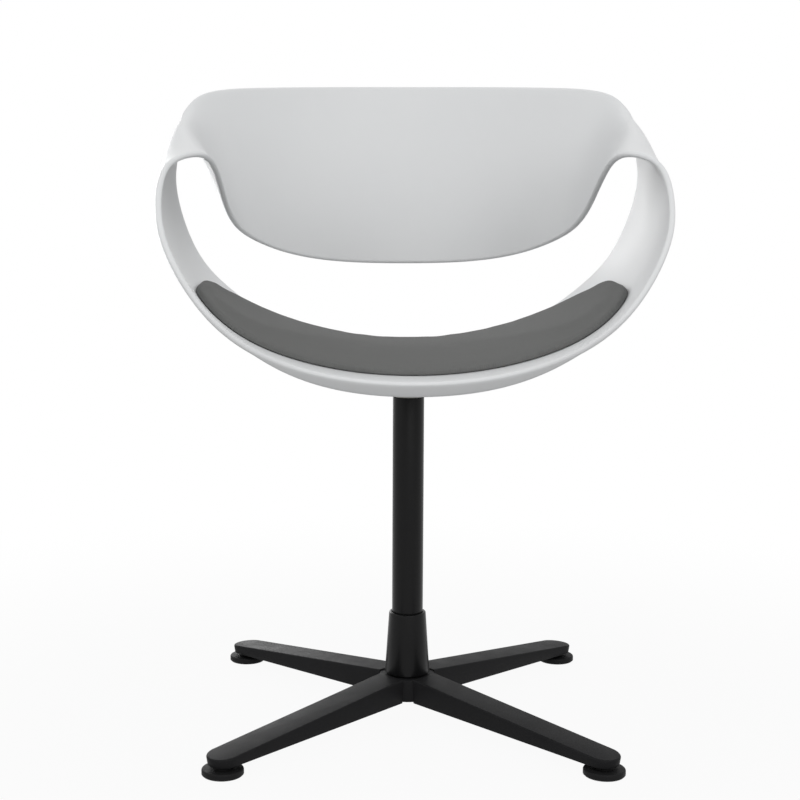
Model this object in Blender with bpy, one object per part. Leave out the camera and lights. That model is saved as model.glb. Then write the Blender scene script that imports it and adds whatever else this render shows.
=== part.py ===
import math

import bmesh
import bpy
import numpy as np
from mathutils import Matrix, Vector

# Driving sizes, in metres. The column stands on the Z axis and the sitter faces -Y.

# Shell
SHELL_WIDTH = 0.627
FRONT_REACH = 0.253
REAR_REACH = 0.2473
SEAT_HEIGHT = 0.461
ARM_HEIGHT = 0.724
BACK_LOW = 0.5765
BACK_TOP = 0.819
WALL = 0.007
LIP_DROP = 0.0122
LIP_SPAN = 0.200
LIP_SET = 0.009
LIP_BLEND = 0.003

# Seat pad
PAD_LENGTH = 0.297
PAD_FRONT_MARGIN = 0.048
PAD_REAR_MARGIN = 0.045
PAD_CROWN = 0.025
PAD_EDGE = 0.0115
PAD_CORNER = 0.50
PAD_ROLL = 0.011
PAD_SHOULDER = 0.004
PAD_CHEEK = 0.001
PAD_TUCK = 0.0016
COVER_SKIN = 0.0014
CARRIER_THICK = 0.004
CARRIER_INSET = 0.002
PAD_SCREW_X = 0.105
PAD_SCREW_Y = 0.085
PAD_SCREW_D = 0.005
PAD_SCREW_HEAD = 0.010
PAD_SCREW_HEAD_H = 0.003
SCREW_TIP = 0.0007

# Swivel head
PLATE_SIZE = 0.150
PLATE_THICK = 0.005
PLATE_CORNER = 0.018
PLATE_BELOW_SEAT = 0.0245
HOLE_SPACING = 0.110
BOSS_D = 0.022
BOSS_DRAFT = 0.0012
INSERT_D = 0.009
INSERT_LENGTH = 0.009
SCREW_D = 0.006
SCREW_HEAD = 0.0105
SCREW_HEAD_H = 0.0033
SPINDLE_D = 0.025
SPINDLE_LENGTH = 0.190
SPIGOT_D = 0.020
COLLAR_H = 0.0115
RING_THICK = 0.0012
RING_STAND = 0.0022
GROOVE_DEPTH = 0.0012
GROOVE_FROM_END = 0.008

# Column
COLUMN_D = 0.040
COLUMN_WALL = 0.0025
BUSH_LENGTH = 0.030
BUSH_FLANGE = 0.002
PLUG_H = 0.028
CONE_TOP_WALL = 0.0035
CONE_BASE_WALL = 0.0087
CONE_H = 0.0775
CONE_STEP = 0.0022
CONE_STEP_H = 0.0016
CONE_EDGE = 0.0012

# Star base
FOOT_RADIUS = 0.3165
LEG_WIDTH = 0.033
LEG_DRAFT = 0.0014
LEG_ROUND = 0.0022
HUB_BOTTOM = 0.0225
HUB_HEIGHT = 0.035
HUB_LEDGE = 0.002
LEG_END_HEIGHT = 0.013
LEG_SKIN = 0.0042
POCKET_COUNT = 3
POCKET_FROM_HUB = 0.006
POCKET_FROM_FOOT = 0.021
POCKET_DRAFT = 0.001
RIB_THICK = 0.004
BOLT_D = 0.010
BOLT_HEAD_D = 0.016
BOLT_HEAD_H = 0.0064
WASHER_D = 0.026
WASHER_H = 0.0025
RECESS_ROOM = 0.0015
HEX_KEY = 0.0046

# Levelling glides
GLIDE_D = 0.050
GLIDE_H = 0.0082
GLIDE_NECK_D = 0.024
GLIDE_NECK_H = 0.0043
GLIDE_NECK_TAPER = 0.003
GLIDE_SOLE = 0.0027
GLIDE_ROUND = 0.0022
STEM_D = 0.008
STEM_ROOF = 0.003

# Broken edges
EDGE = 0.001
FINE_EDGE = 0.0005

# Clearances
SEAT_GAP = 0.0003
PAD_GAP = 0.0008
RUN_GAP = 0.0001
FIT_GAP = 0.0003

# Colours are linear red, green, blue
WHITE = (0.68, 0.69, 0.70)
GREY_CLOTH = (0.165, 0.165, 0.165)
FOAM_CREAM = (0.62, 0.56, 0.40)
BOARD_BLACK = (0.03, 0.03, 0.03)
BLACK_COAT = (0.018, 0.018, 0.019)
BLACK_PLASTIC = (0.012, 0.012, 0.012)
BARE_STEEL = (0.45, 0.45, 0.46)
BRASS = (0.62, 0.44, 0.17)
PALE_POLYMER = (0.55, 0.54, 0.50)

# Derived levels
HALF_WIDTH = SHELL_WIDTH / 2 - WALL / 2
RIM_MID = SEAT_HEIGHT - WALL / 2
ARM_MID = ARM_HEIGHT - WALL / 2
PLATE_TOP = SEAT_HEIGHT - PLATE_BELOW_SEAT
PLATE_BASE = PLATE_TOP - PLATE_THICK
COLLAR_TOP = PLATE_BASE - SEAT_GAP
COLLAR_BASE = COLLAR_TOP - COLLAR_H
COLUMN_TOP = COLLAR_BASE - BUSH_FLANGE - 2 * SEAT_GAP
HUB_TOP = HUB_BOTTOM + HUB_HEIGHT
COLUMN_BASE = HUB_TOP + SEAT_GAP
COLUMN_BORE = COLUMN_D / 2 - COLUMN_WALL
CONE_BORE = COLUMN_D / 2 + FIT_GAP
CONE_BASE_R = CONE_BORE + CONE_BASE_WALL
HUB_R = CONE_BASE_R + HUB_LEDGE
END_BOTTOM = GLIDE_H + GLIDE_NECK_H
END_TOP = END_BOTTOM + LEG_END_HEIGHT
STEM_TOP = END_TOP - STEM_ROOF

for old in list(bpy.data.objects):
    bpy.data.objects.remove(old, do_unlink=True)


# Shared helpers

def finish(obj, colour, rough, metal):
    mat = bpy.data.materials.new(obj.name)
    mat.use_nodes = True
    shader = mat.node_tree.nodes["Principled BSDF"]
    shader.inputs["Base Color"].default_value = (*colour, 1.0)
    shader.inputs["Roughness"].default_value = rough
    shader.inputs["Metallic"].default_value = metal
    obj.data.materials.clear()
    obj.data.materials.append(mat)
    return obj


def add_mesh(name, verts, faces, at=(0, 0, 0)):
    bm = bmesh.new()
    made = [bm.verts.new(v) for v in verts]
    for face in faces:
        bm.faces.new([made[i] for i in face])
    bmesh.ops.recalc_face_normals(bm, faces=bm.faces)
    mesh = bpy.data.meshes.new(name)
    bm.to_mesh(mesh)
    bm.free()
    obj = bpy.data.objects.new(name, mesh)
    obj.location = at
    bpy.context.scene.collection.objects.link(obj)
    return obj


def skin(rings, closed=False, capped=True):
    # Faces over a stack of rings that all have the same number of points
    count = len(rings[0])
    verts = [p for ring in rings for p in ring]
    faces = []
    spans = len(rings) if closed else len(rings) - 1
    for i in range(spans):
        j = (i + 1) % len(rings)
        for k in range(count):
            m = (k + 1) % count
            faces.append((i * count + k, i * count + m, j * count + m, j * count + k))
    if capped and not closed:
        faces.append(tuple(range(count)))
        faces.append(tuple(range((len(rings) - 1) * count, len(rings) * count)))
    return verts, faces


def turned(name, profile, sides=32, at=(0, 0, 0)):
    # A profile of (radius, height) points is turned about a vertical axis. It either closes on itself
    # as a ring section, or starts and ends on the axis.
    on_axis = profile[0][0] == 0
    body = profile[1:-1] if on_axis else profile
    rings = []
    for r, z in body:
        turn = [2 * math.pi * k / sides for k in range(sides)]
        rings.append([(r * math.cos(a), r * math.sin(a), z) for a in turn])
    verts, faces = skin(rings, closed=not on_axis, capped=False)
    if on_axis:
        first = len(verts)
        verts.append((0, 0, profile[0][1]))
        verts.append((0, 0, profile[-1][1]))
        top = (len(body) - 1) * sides
        for k in range(sides):
            m = (k + 1) % sides
            faces.append((first, m, k))
            faces.append((first + 1, top + k, top + m))
    return add_mesh(name, verts, faces, at)


def combine(target, tool, operation):
    mod = target.modifiers.new(operation.lower(), "BOOLEAN")
    mod.operation = operation
    mod.solver = "EXACT"
    mod.object = tool
    bpy.context.view_layer.update()
    graph = bpy.context.evaluated_depsgraph_get()
    result = bpy.data.meshes.new_from_object(target.evaluated_get(graph))
    target.modifiers.clear()
    target.data = result
    bpy.data.objects.remove(tool, do_unlink=True)


def joined(name, parts):
    bm = bmesh.new()
    for part in parts:
        part.data.transform(Matrix.Translation(part.location))
        bm.from_mesh(part.data)
        bpy.data.objects.remove(part, do_unlink=True)
    mesh = bpy.data.meshes.new(name)
    bm.to_mesh(mesh)
    bm.free()
    obj = bpy.data.objects.new(name, mesh)
    bpy.context.scene.collection.objects.link(obj)
    return obj


def shaded(obj, angle=40):
    for poly in obj.data.polygons:
        poly.use_smooth = True
    bm = bmesh.new()
    bm.from_mesh(obj.data)
    for edge in bm.edges:
        if len(edge.link_faces) == 2:
            edge.smooth = edge.calc_face_angle(0) < math.radians(angle)
    bm.to_mesh(obj.data)
    bm.free()
    return obj


# Shell surface: a closed band that turns from the seat through the arms into the backrest.
# Three rails run round it. The front edge of the seat becomes the lower edge of the backrest, and
# the rear edge of the seat becomes the top edge. Points are shares of half width, reach and height,
# from the middle of the seat, up the right arm, to the middle of the back.

FRONT_SEAT = [
    (0.000, -0.806, 0.000), (0.470, -0.866, 0.089), (0.758, -0.986, 0.330), (0.897, -0.880, 0.577),
    (0.948, -0.700, 0.788), (0.926, -0.512, 0.952), (0.839, -0.430, 1.000)]
FRONT_BACK = [
    (0.776, -0.260, 0.930), (0.755, 0.220, 0.570), (0.683, 0.600, 0.266), (0.522, 0.740, 0.104),
    (0.000, 0.780, 0.000)]
MIDDLE_SEAT = [
    (0.000, 0.000, 0.006), (0.484, 0.004, 0.093), (0.823, -0.016, 0.308), (0.958, -0.048, 0.552),
    (1.000, -0.080, 0.774), (0.994, -0.048, 0.924), (0.971, 0.020, 1.028)]
MIDDLE_BACK = [
    (0.926, 0.133, 0.715), (0.879, 0.340, 0.683), (0.789, 0.608, 0.598), (0.584, 0.760, 0.540),
    (0.000, 0.862, 0.507)]
REAR_SEAT = [
    (0.000, 0.840, -0.018), (0.484, 0.872, 0.080), (0.812, 0.860, 0.332), (0.938, 0.688, 0.552),
    (0.990, 0.512, 0.800), (0.989, 0.432, 0.940), (0.973, 0.424, 1.036)]
REAR_TOP = [
    (0.966, 0.448, 0.317), (0.949, 0.528, 0.574), (0.868, 0.664, 0.872), (0.629, 0.820, 0.967),
    (0.000, 1.000, 1.000)]
STEPS = [6, 6, 4, 4, 4, 4, 4, 5, 5, 5, 5]


def rail(shares, low, high):
    points = []
    for across, along, up in shares:
        reach = FRONT_REACH if along < 0 else REAR_REACH
        points.append((across * HALF_WIDTH, along * reach, low + up * (high - low)))
    return points


def both_sides(half):
    left = [(-x, y, z) for x, y, z in half[-2:0:-1]]
    return np.array(half + left)


class Ring:
    # A smooth closed curve through points, with a continuous bend
    def __init__(self, points, knots):
        count = len(points)
        span = np.diff(knots)
        matrix = np.zeros((count, count))
        right = np.zeros((count, 3))
        for i in range(count):
            before, after = span[i - 1], span[i]
            matrix[i, i - 1] += before
            matrix[i, i] += 2 * (before + after)
            matrix[i, (i + 1) % count] += after
            rise = (points[(i + 1) % count] - points[i]) / after
            fall = (points[i] - points[i - 1]) / before
            right[i] = 6 * (rise - fall)
        self.bend = np.linalg.solve(matrix, right)
        self.points = points
        self.knots = knots

    def at(self, t):
        # Position and direction at t
        t = t % self.knots[-1]
        i = int(np.searchsorted(self.knots, t, side="right")) - 1
        i = min(i, len(self.points) - 1)
        j = (i + 1) % len(self.points)
        h = self.knots[i + 1] - self.knots[i]
        b = (t - self.knots[i]) / h
        a = 1 - b
        p, q = self.points[i], self.points[j]
        m, n = self.bend[i], self.bend[j]
        place = a * p + b * q + ((a ** 3 - a) * m + (b ** 3 - b) * n) * h * h / 6
        way = (q - p) / h + (-(3 * a * a - 1) * m + (3 * b * b - 1) * n) * h / 6
        return place, way


front_half = rail(FRONT_SEAT, RIM_MID, ARM_MID) + rail(FRONT_BACK, BACK_LOW, ARM_MID)
middle_half = rail(MIDDLE_SEAT, RIM_MID, ARM_MID) + rail(MIDDLE_BACK, BACK_LOW, BACK_TOP)
rear_half = rail(REAR_SEAT, RIM_MID, ARM_MID) + rail(REAR_TOP, ARM_MID, BACK_TOP)
middle_all = both_sides(middle_half)
steps_round = np.linalg.norm(np.roll(middle_all, -1, axis=0) - middle_all, axis=1)
KNOTS = np.concatenate(([0.0], np.cumsum(steps_round)))
LOOP = KNOTS[-1]
FRONT = Ring(both_sides(front_half), KNOTS)
MIDDLE = Ring(middle_all, KNOTS)
REAR = Ring(both_sides(rear_half), KNOTS)


def band(t, v):
    # Middle of the wall at t round the band and v across it from the front edge, with the
    # direction across and the normal on the sitting side
    e, de = FRONT.at(t)
    m, dm = MIDDLE.at(t)
    r, dr = REAR.at(t)
    a, b, c = (1 - v) * (1 - 2 * v), 4 * v * (1 - v), v * (2 * v - 1)
    place = a * e + b * m + c * r
    along = a * de + b * dm + c * dr
    across = (4 * v - 3) * e + (4 - 8 * v) * m + (4 * v - 1) * r
    normal = np.cross(along, across)
    return place, across, normal / np.linalg.norm(normal)


def under(x, y):
    # t and v of the seat point that stands over x and y
    t, v = x, 0.5
    for _ in range(40):
        place, across, _n = band(t, v)
        t += x - place[0]
        v += (y - place[1]) / across[1]
    return t, v


def lip_at(t):
    from_middle = min(t % LOOP, LOOP - t % LOOP)
    share = min(1.0, from_middle / LIP_SPAN)
    return LIP_DROP * (1 - share ** 3) ** 1.5


def section(t):
    # Closed outline of the wall at t: sitting side, rear edge, under side, turned-down front lip
    half = WALL / 2
    lip = lip_at(t)
    back = LIP_SET * lip / LIP_DROP
    front_pace = np.linalg.norm(band(t, 0.0)[1])
    rear_pace = np.linalg.norm(band(t, 1.0)[1])
    inner = [0.12, 0.26, 0.42, 0.58, 0.74, 0.88]
    below = [0.80, 0.60, 0.40, 0.20]

    def from_front(u):
        return u / front_pace

    def from_rear(u):
        return 1 - u / rear_pace

    marks = [(from_front(half), half)]
    marks += [(v, half) for v in inner]
    marks += [(from_rear(half), half)]
    for turn in (45, 90, 135):
        bulge = math.radians(turn)
        marks.append((from_rear(half * (1 - math.sin(bulge))), half * math.cos(bulge)))
    marks += [(from_rear(half), -half)]
    marks += [(v, -half) for v in below]
    marks += [(from_front(back + WALL + LIP_BLEND), -half)]
    marks += [(from_front(back + WALL + 0.27 * LIP_BLEND), -half - 0.30 * lip)]
    marks += [(from_front(back + WALL - 0.13 * LIP_BLEND), -half - 0.92 * lip)]
    marks += [(from_front(back + half), -half - lip)]
    bulge = math.radians(135)
    marks.append((from_front(back + half * (1 - math.sin(bulge))), half * math.cos(bulge) - lip))
    for turn in (108, 75, 45):
        bulge = math.radians(turn)
        marks.append((from_front(half * (1 - math.sin(bulge))), half * math.cos(bulge)))
    outline = []
    for v, lift in marks:
        place, _across, normal = band(t, v)
        outline.append(tuple(place + normal * lift))
    return outline


def shell_stops():
    half = []
    for i, count in enumerate(STEPS):
        for k in range(count):
            half.append(KNOTS[i] + (KNOTS[i + 1] - KNOTS[i]) * k / count)
    end = KNOTS[len(STEPS)]
    return half + [end] + [LOOP - t for t in reversed(half[1:])]


def drill(radius, low, high, at=(0, 0, 0), sides=20):
    return turned("drill", [(0, low), (radius, low), (radius, high), (0, high)], sides, at)


def aimed(obj, place, normal):
    turn = Vector((0, 0, 1)).rotation_difference(Vector(normal)).to_matrix().to_4x4()
    obj.data.transform(Matrix.Translation(Vector(place)) @ turn)
    return obj


verts, faces = skin([section(t) for t in shell_stops()], closed=True)
shell = add_mesh("seat_shell", verts, faces)

corners = [(sx, sy) for sy in (-1, 1) for sx in (-1, 1)]
boss_base = PLATE_TOP + SEAT_GAP
for sx, sy in corners:
    bx, by = sx * HOLE_SPACING / 2, sy * HOLE_SPACING / 2
    seat_level = band(*under(bx, by))[0][2]
    boss = turned("boss", [
        (0, boss_base), (BOSS_D / 2, boss_base), (BOSS_D / 2 + BOSS_DRAFT, seat_level), (0, seat_level)],
        24, (bx, by, 0))
    combine(shell, boss, "UNION")

drills = []
for sx, sy in corners:
    at = (sx * HOLE_SPACING / 2, sy * HOLE_SPACING / 2, 0)
    mouth = boss_base - WALL
    drills.append(drill(INSERT_D / 2 + FIT_GAP, mouth, boss_base + INSERT_LENGTH + 2 * FIT_GAP, at))
for sx, sy in corners:
    place, _a, normal = band(*under(sx * PAD_SCREW_X, sy * PAD_SCREW_Y))
    hole = drill(PAD_SCREW_D / 2 + FIT_GAP, -2 * WALL, 2 * WALL, sides=16)
    drills.append(aimed(hole, place, normal))
combine(shell, joined("shell_drills", drills), "DIFFERENCE")
finish(shaded(shell, 50), WHITE, 0.42, 0.0)

# Seat pad: cover over foam over a carrier board, all laid on the seat surface

PAD_SPOKES = 40
PAD_ROWS = (0.84, 0.67, 0.50, 0.33, 0.17)
V_FRONT = PAD_FRONT_MARGIN / np.linalg.norm(band(0, 0.1)[1])
V_REAR = 1 - PAD_REAR_MARGIN / np.linalg.norm(band(0, 0.9)[1])
V_MID = (V_FRONT + V_REAR) / 2


def pad_edge(angle):
    # t and v of the pad's outline in one direction from its middle
    c, s = math.cos(angle), math.sin(angle)
    t = PAD_LENGTH * math.copysign(abs(c) ** PAD_CORNER, c)
    spread = (V_REAR - V_FRONT) / 2
    lean = 0.05 * (t / PAD_LENGTH) ** 2
    v = V_MID + math.copysign(abs(s) ** PAD_CORNER, s) * (spread - lean)
    return t, v


def pad_point(angle, share, inset, lift):
    # A point at a share of the way to the outline, drawn in by inset, lifted off the seat
    t, v = pad_edge(angle)
    pace = math.hypot(t, (v - V_MID) * np.linalg.norm(band(0, 0.5)[1]))
    share = share - inset / pace
    place, _a, normal = band(t * share, V_MID + (v - V_MID) * share)
    return tuple(place + normal * (WALL / 2 + lift))


def dome(share):
    return PAD_EDGE + (PAD_CROWN - PAD_EDGE) * (1 - share ** 2.4) ** 0.9


def pad_solid(name, rows):
    # Rows of (share, inset, lift) from the top middle, over the edge, to the bottom middle. Every
    # quad is split from its outer to its inner row the same way round, so layers lie parallel.
    angles = [2 * math.pi * k / PAD_SPOKES for k in range(PAD_SPOKES)]
    body = rows[1:-1]
    verts = [pad_point(a, *row) for row in body for a in angles]
    faces = []
    for i in range(len(body) - 1):
        wide, narrow = i, i + 1
        if (body[narrow][0], -body[narrow][1]) > (body[wide][0], -body[wide][1]):
            wide, narrow = narrow, wide
        for k in range(PAD_SPOKES):
            m = (k + 1) % PAD_SPOKES
            a, b = wide * PAD_SPOKES + k, wide * PAD_SPOKES + m
            c, d = narrow * PAD_SPOKES + k, narrow * PAD_SPOKES + m
            faces.append((a, b, d))
            faces.append((a, d, c))
    count = len(verts)
    verts += [pad_point(0, *rows[0]), pad_point(0, *rows[-1])]
    last = (len(body) - 1) * PAD_SPOKES
    for k in range(PAD_SPOKES):
        m = (k + 1) % PAD_SPOKES
        faces.append((count, m, k))
        faces.append((count + 1, last + k, last + m))
    return add_mesh(name, verts, faces)


def dome_rows(inset, drop):
    # Crowned top, rolled over into the side, for the outline drawn in by inset
    rows = [(0.0, 0, dome(0.0) - drop)]
    for share in (0.28, 0.52, 0.72, 0.86):
        rows.append((share, 0, dome(share) - drop))
    rows.append((1.0, PAD_ROLL + inset, dome(0.95) - drop))
    rows.append((1.0, PAD_SHOULDER + inset, PAD_EDGE * 0.93 - drop))
    rows.append((1.0, PAD_CHEEK + inset, PAD_EDGE * 0.74 - drop * 0.7))
    rows.append((1.0, inset, PAD_EDGE * 0.50 - drop * 0.3))
    return rows


board_low = PAD_GAP
board_high = board_low + CARRIER_THICK
skirt = COVER_SKIN + FIT_GAP
outer = dome_rows(0.0, 0.0) + [(1.0, PAD_TUCK, PAD_GAP)]
lining = dome_rows(COVER_SKIN, COVER_SKIN) + [(1.0, PAD_TUCK + COVER_SKIN, PAD_GAP)]
cover = pad_solid("seat_pad_cover", outer + lining[::-1])
finish(shaded(cover, 60), GREY_CLOTH, 0.85, 0.0)

foam_low = board_high + SEAT_GAP
foam_rows = []
for share, inset, lift in dome_rows(skirt, skirt):
    foam_rows.append((share, inset, max(lift, foam_low + SEAT_GAP)))
foam_rows += [(1.0, CARRIER_INSET + skirt, foam_low)]
foam_rows += [(share, 0, foam_low) for share in PAD_ROWS]
foam_rows += [(0.0, 0, foam_low)]
foam = pad_solid("seat_pad_foam", foam_rows)
finish(shaded(foam, 60), FOAM_CREAM, 0.95, 0.0)

board_rows = [(0.0, 0, board_high)]
board_rows += [(share, 0, board_high) for share in reversed(PAD_ROWS)]
board_rows += [(1.0, CARRIER_INSET + skirt, board_high), (1.0, CARRIER_INSET + skirt, board_low)]
board_rows += [(share, 0, board_low) for share in PAD_ROWS]
board_rows += [(0.0, 0, board_low)]
board = pad_solid("seat_pad_carrier", board_rows)
holes = []
for sx, sy in corners:
    place, _a, normal = band(*under(sx * PAD_SCREW_X, sy * PAD_SCREW_Y))
    top = WALL / 2 + board_high - CARRIER_THICK / 5
    holes.append(aimed(drill(PAD_SCREW_D / 2 + FIT_GAP, 0, top, sides=16), place, normal))
combine(board, joined("carrier_drills", holes), "DIFFERENCE")
finish(shaded(board, 30), BOARD_BLACK, 0.7, 0.0)


def pan_screw(name, d, head, head_h, grip, sides=10):
    # A low domed screw with a hexagon socket, head below, tip up. Height 0 is under the head.
    r, h = d / 2, head / 2
    screw = turned(name, [
        (0, -head_h), (h * 0.62, -head_h), (h * 0.88, -head_h * 0.72), (h, -head_h * 0.25), (h, 0),
        (r, 0), (r, grip - SCREW_TIP), (r - SCREW_TIP, grip), (0, grip)], sides)
    socket = drill(h * 0.46, -2 * head_h, -head_h * 0.35, sides=6)
    combine(screw, socket, "DIFFERENCE")
    return screw


for number, (sx, sy) in enumerate(corners, 1):
    place, _a, normal = band(*under(sx * PAD_SCREW_X, sy * PAD_SCREW_Y))
    grip = WALL + 0.85 * CARRIER_THICK
    screw = pan_screw(f"pad_screw_{number}", PAD_SCREW_D, PAD_SCREW_HEAD, PAD_SCREW_HEAD_H, grip)
    aimed(screw, place - normal * (WALL / 2 + SEAT_GAP), normal)
    finish(shaded(screw), BARE_STEEL, 0.35, 1.0)

# Swivel head: plate, spindle, screws and the inserts that take them


def rounded_square(size, corner, level):
    points = []
    reach = size / 2 - corner
    for quarter in range(4):
        cx = reach * (1 if quarter in (0, 3) else -1)
        cy = reach * (1 if quarter in (0, 1) else -1)
        for k in range(5):
            a = math.radians(90 * quarter + 22.5 * k)
            points.append((cx + corner * math.cos(a), cy + corner * math.sin(a), level))
    return points


plate_rings = [
    rounded_square(PLATE_SIZE - 2 * FINE_EDGE, PLATE_CORNER - FINE_EDGE, PLATE_BASE),
    rounded_square(PLATE_SIZE, PLATE_CORNER, PLATE_BASE + FINE_EDGE),
    rounded_square(PLATE_SIZE, PLATE_CORNER, PLATE_TOP - FINE_EDGE),
    rounded_square(PLATE_SIZE - 2 * FINE_EDGE, PLATE_CORNER - FINE_EDGE, PLATE_TOP)]
plate = add_mesh("swivel_plate", *skin(plate_rings))
plate_holes = [drill(SPIGOT_D / 2 + FIT_GAP, PLATE_BASE - PLATE_THICK, PLATE_TOP + PLATE_THICK, sides=24)]
for sx, sy in corners:
    at = (sx * HOLE_SPACING / 2, sy * HOLE_SPACING / 2, 0)
    low, high = PLATE_BASE - PLATE_THICK, PLATE_TOP + PLATE_THICK
    plate_holes.append(drill(SCREW_D / 2 + FIT_GAP, low, high, at, 14))
combine(plate, joined("plate_drills", plate_holes), "DIFFERENCE")
finish(shaded(plate, 30), BLACK_COAT, 0.5, 0.4)

spindle_end = COLLAR_BASE - SPINDLE_LENGTH
groove_top = spindle_end + GROOVE_FROM_END
groove_r = SPINDLE_D / 2 - GROOVE_DEPTH
groove_base = groove_top - RING_THICK - 2 * RUN_GAP
shaft_r = SPINDLE_D / 2
collar_r = COLUMN_D / 2
spindle = turned("swivel_spindle", [
    (0, spindle_end), (shaft_r - EDGE, spindle_end), (shaft_r, spindle_end + EDGE),
    (shaft_r, groove_base), (groove_r, groove_base), (groove_r, groove_top), (shaft_r, groove_top),
    (shaft_r, COLLAR_BASE), (collar_r - FINE_EDGE, COLLAR_BASE), (collar_r, COLLAR_BASE + FINE_EDGE),
    (collar_r, COLLAR_TOP - FINE_EDGE), (collar_r - FINE_EDGE, COLLAR_TOP),
    (SPIGOT_D / 2, COLLAR_TOP), (SPIGOT_D / 2, PLATE_TOP - SEAT_GAP), (0, PLATE_TOP - SEAT_GAP)], 32)
finish(shaded(spindle), BLACK_COAT, 0.45, 0.5)

ring_low = groove_base + RUN_GAP
ring_points = []
for k in range(25):
    a = math.radians(100 + 340 * k / 24)
    ring_points.append((math.cos(a), math.sin(a)))
ring_in = groove_r + RUN_GAP
ring_out = shaft_r + RING_STAND
ring_rings = []
for c, s in ring_points:
    ring_rings.append([
        (ring_in * c, ring_in * s, ring_low), (ring_out * c, ring_out * s, ring_low),
        (ring_out * c, ring_out * s, ring_low + RING_THICK),
        (ring_in * c, ring_in * s, ring_low + RING_THICK)])
ring = add_mesh("retaining_ring", *skin(ring_rings))
finish(shaded(ring), BARE_STEEL, 0.3, 1.0)

for number, (sx, sy) in enumerate(corners, 1):
    at = (sx * HOLE_SPACING / 2, sy * HOLE_SPACING / 2, PLATE_BASE - SEAT_GAP)
    grip = PLATE_THICK + INSERT_LENGTH - EDGE
    screw = pan_screw(f"plate_screw_{number}", SCREW_D, SCREW_HEAD, SCREW_HEAD_H, grip)
    screw.data.transform(Matrix.Translation(Vector(at)))
    finish(shaded(screw), BLACK_COAT, 0.4, 0.8)
    low = boss_base + FIT_GAP
    high = low + INSERT_LENGTH
    bore = SCREW_D / 2 + FIT_GAP
    insert = turned(f"shell_insert_{number}", [
        (bore, low), (INSERT_D / 2, low), (INSERT_D / 2, high - FINE_EDGE), (INSERT_D / 2 - FINE_EDGE, high),
        (bore, high)], 14)
    insert.data.transform(Matrix.Translation(Vector((at[0], at[1], 0))))
    finish(shaded(insert), BRASS, 0.35, 1.0)

# Column: tube, two bushes that carry the spindle, end plug and conical socket

column = turned("column_tube", [
    (COLUMN_BORE, COLUMN_BASE), (collar_r - FINE_EDGE, COLUMN_BASE), (collar_r, COLUMN_BASE + FINE_EDGE),
    (collar_r, COLUMN_TOP - FINE_EDGE), (collar_r - FINE_EDGE, COLUMN_TOP), (COLUMN_BORE, COLUMN_TOP)], 36)
finish(shaded(column), BLACK_COAT, 0.42, 0.35)

bush_r = COLUMN_BORE - FIT_GAP
bush_bore = SPINDLE_D / 2 + RUN_GAP
flange_low = COLUMN_TOP + SEAT_GAP
top_bush = turned("top_bush", [
    (bush_bore, COLUMN_TOP - BUSH_LENGTH), (bush_r, COLUMN_TOP - BUSH_LENGTH), (bush_r, flange_low),
    (COLUMN_D / 2, flange_low), (COLUMN_D / 2, flange_low + BUSH_FLANGE),
    (bush_bore, flange_low + BUSH_FLANGE)], 32)
finish(shaded(top_bush), PALE_POLYMER, 0.5, 0.0)

low_bush_base = groove_top + SEAT_GAP
low_bush = turned("lower_bush", [
    (bush_bore, low_bush_base), (bush_r, low_bush_base), (bush_r, low_bush_base + BUSH_LENGTH),
    (bush_bore, low_bush_base + BUSH_LENGTH)], 32)
finish(shaded(low_bush), PALE_POLYMER, 0.5, 0.0)

bolt_bore = BOLT_D / 2 + FIT_GAP
plug = turned("column_plug", [
    (bolt_bore, COLUMN_BASE), (bush_r - EDGE, COLUMN_BASE), (bush_r, COLUMN_BASE + EDGE),
    (bush_r, COLUMN_BASE + PLUG_H), (bolt_bore, COLUMN_BASE + PLUG_H)], 24)
finish(shaded(plug), BARE_STEEL, 0.4, 1.0)

cone_top = COLUMN_BASE + CONE_H
cone_top_r = CONE_BORE + CONE_TOP_WALL
step_r = CONE_BASE_R - CONE_STEP
cone = turned("column_cone", [
    (CONE_BORE, COLUMN_BASE), (step_r, COLUMN_BASE), (step_r, COLUMN_BASE + CONE_STEP_H),
    (CONE_BASE_R, COLUMN_BASE + 1.5 * CONE_STEP_H), (cone_top_r, cone_top - CONE_EDGE),
    (cone_top_r - CONE_EDGE, cone_top), (CONE_BORE, cone_top)], 36)
finish(shaded(cone), BLACK_COAT, 0.42, 0.35)

# Star base: four tapered legs on a hub, pocketed and ribbed from below

LEG_START = HUB_R * 0.72
LEG_END = FOOT_RADIUS + LEG_WIDTH / 2
DIRECTIONS = [math.radians(45 + 90 * k) for k in range(4)]


def leg_top(r):
    level = HUB_TOP - 2 * SEAT_GAP
    return level + (END_TOP - level) * r / LEG_END


def leg_low(r):
    return HUB_BOTTOM + (END_BOTTOM - HUB_BOTTOM) * r / LEG_END


def leg_ring(inset, level, drop):
    half = LEG_WIDTH / 2 - inset
    plan = [(LEG_START, -half)]
    for k in range(13):
        a = math.radians(-90 + 15 * k)
        plan.append((FOOT_RADIUS + half * math.cos(a), half * math.sin(a)))
    plan.append((LEG_START, half))
    return [(x, y, level(x) - drop) for x, y in plan]


def turned_to(obj, angle):
    obj.data.transform(Matrix.Rotation(angle, 4, "Z"))
    return obj


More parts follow.
